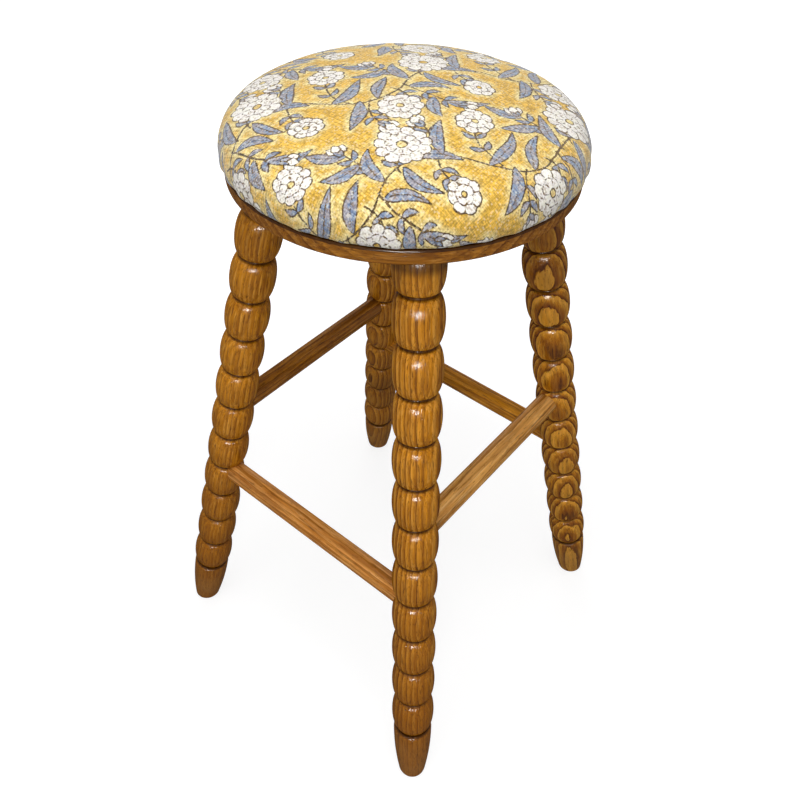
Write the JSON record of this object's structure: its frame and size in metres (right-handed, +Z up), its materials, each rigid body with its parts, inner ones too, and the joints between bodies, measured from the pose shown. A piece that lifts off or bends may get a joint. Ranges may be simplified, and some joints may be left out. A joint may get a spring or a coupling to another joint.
{
  "type": "bar stool",
  "caption": "Backless bar stool with splayed bobbin-turned wooden legs, staggered round stretchers and a domed round seat pad in printed cloth.",
  "frame": {"origin": "on the floor, under the middle of the seat", "axes": "+Z up; +X to the sitter's right and -Y to the front, with the legs at the four corners and the stretchers along X and Y"},
  "size_m": [0.408, 0.408, 0.75],
  "materials": {
    "turned_hardwood": "satin lacquer over honey-brown stain",
    "board_hardwood": "satin lacquer over honey-brown stain",
    "wedge_hardwood": "bare, planed flush",
    "printed_cotton": "matt slub weave with a floral print",
    "polyester_wadding": "soft felted fibre",
    "seat_foam": "open-cell foam",
    "plywood": "sanded, bare",
    "zinc_steel": "zinc plated"
  },
  "bodies": {
    "root": {"leg_front_left": "turned_hardwood", "leg_front_right": "turned_hardwood", "leg_back_right": "turned_hardwood", "leg_back_left": "turned_hardwood", "stretcher_front": "turned_hardwood", "stretcher_right": "turned_hardwood", "stretcher_back": "turned_hardwood", "stretcher_left": "turned_hardwood", "seat_board": "board_hardwood", "wedge_front_left": "wedge_hardwood", "wedge_front_right": "wedge_hardwood", "wedge_back_right": "wedge_hardwood", "wedge_back_left": "wedge_hardwood", "seat_cover": "printed_cotton", "wadding": "polyester_wadding", "foam_pad": "seat_foam", "pad_board": "plywood", "cover_staples": "zinc_steel", "pad_screws": "zinc_steel"}
  },
  "joints": []
}
